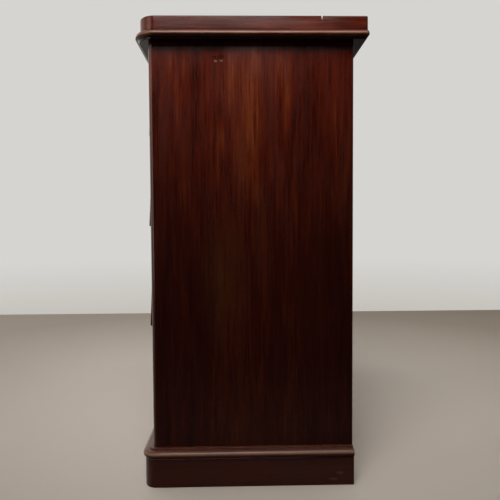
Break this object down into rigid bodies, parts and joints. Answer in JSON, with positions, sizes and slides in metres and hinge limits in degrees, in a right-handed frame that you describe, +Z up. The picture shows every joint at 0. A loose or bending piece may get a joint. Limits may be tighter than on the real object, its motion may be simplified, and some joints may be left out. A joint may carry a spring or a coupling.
{
  "type": "chiffonier",
  "caption": "Polished mahogany chiffonier: graduated long drawers between round-cornered sides, thick top on a moulded board, plinth with a half-round moulding.",
  "frame": {"origin": "on the floor, under the middle of the chest's overall box, knobs included", "axes": "+X to the right as seen from the front, +Y from the front to the back, +Z up"},
  "size_m": [0.994, 0.4876, 0.975],
  "materials": {
    "mahogany": "French-polished, dark red-brown",
    "pine": "unpolished, aged",
    "brass": "aged",
    "steel": "dull"
  },
  "bodies": {
    "carcass": {"top_slab": "mahogany", "top_moulding": "mahogany", "carcass_top": "mahogany", "drawer_rail_1": "mahogany", "drawer_rail_2": "mahogany", "drawer_rail_3": "mahogany", "dustboard_1": "pine", "dustboard_2": "pine", "dustboard_3": "pine", "bottom_board": "mahogany", "side_left": "mahogany", "side_right": "mahogany", "back_boards": "pine", "plinth_front": "mahogany", "plinth_left": "mahogany", "plinth_right": "mahogany", "plinth_back": "pine", "base_moulding_front": "mahogany", "base_moulding_left": "mahogany", "base_moulding_right": "mahogany"},
    "drawer_1": {"drawer_1_front": "mahogany", "drawer_1_side_left": "pine", "drawer_1_side_right": "pine", "drawer_1_back": "pine", "drawer_1_bottom": "pine", "drawer_1_knob_left": "mahogany", "drawer_1_knob_right": "mahogany", "drawer_1_escutcheon": "brass", "drawer_1_lock": "brass"},
    "bolt_1": {"drawer_1_lock_bolt": "steel"},
    "drawer_2": {"drawer_2_front": "mahogany", "drawer_2_side_left": "pine", "drawer_2_side_right": "pine", "drawer_2_back": "pine", "drawer_2_bottom": "pine", "drawer_2_knob_left": "mahogany", "drawer_2_knob_right": "mahogany", "drawer_2_escutcheon": "brass", "drawer_2_lock": "brass"},
    "bolt_2": {"drawer_2_lock_bolt": "steel"},
    "drawer_3": {"drawer_3_front": "mahogany", "drawer_3_side_left": "pine", "drawer_3_side_right": "pine", "drawer_3_back": "pine", "drawer_3_bottom": "pine", "drawer_3_knob_left": "mahogany", "drawer_3_knob_right": "mahogany", "drawer_3_escutcheon": "brass", "drawer_3_lock": "brass"},
    "bolt_3": {"drawer_3_lock_bolt": "steel"},
    "drawer_4": {"drawer_4_front": "mahogany", "drawer_4_side_left": "pine", "drawer_4_side_right": "pine", "drawer_4_back": "pine", "drawer_4_bottom": "pine", "drawer_4_knob_left": "mahogany", "drawer_4_knob_right": "mahogany", "drawer_4_escutcheon": "brass", "drawer_4_lock": "brass"},
    "bolt_4": {"drawer_4_lock_bolt": "steel"}
  },
  "joints": [
    {"name": "drawer_1_slide", "type": "slide", "parent": "carcass", "child": "drawer_1", "axis": [0, -1, 0], "range_m": [0, 0.32]},
    {"name": "drawer_2_slide", "type": "slide", "parent": "carcass", "child": "drawer_2", "axis": [0, -1, 0], "range_m": [0, 0.32]},
    {"name": "drawer_3_slide", "type": "slide", "parent": "carcass", "child": "drawer_3", "axis": [0, -1, 0], "range_m": [0, 0.32]},
    {"name": "drawer_4_slide", "type": "slide", "parent": "carcass", "child": "drawer_4", "axis": [0, -1, 0], "range_m": [0, 0.32]},
    {"name": "bolt_1_rise", "type": "slide", "parent": "drawer_1", "child": "bolt_1", "axis": [0, 0, 1], "range_m": [0, 0.007]},
    {"name": "bolt_2_rise", "type": "slide", "parent": "drawer_2", "child": "bolt_2", "axis": [0, 0, 1], "range_m": [0, 0.007]},
    {"name": "bolt_3_rise", "type": "slide", "parent": "drawer_3", "child": "bolt_3", "axis": [0, 0, 1], "range_m": [0, 0.007]},
    {"name": "bolt_4_rise", "type": "slide", "parent": "drawer_4", "child": "bolt_4", "axis": [0, 0, 1], "range_m": [0, 0.007]}
  ]
}
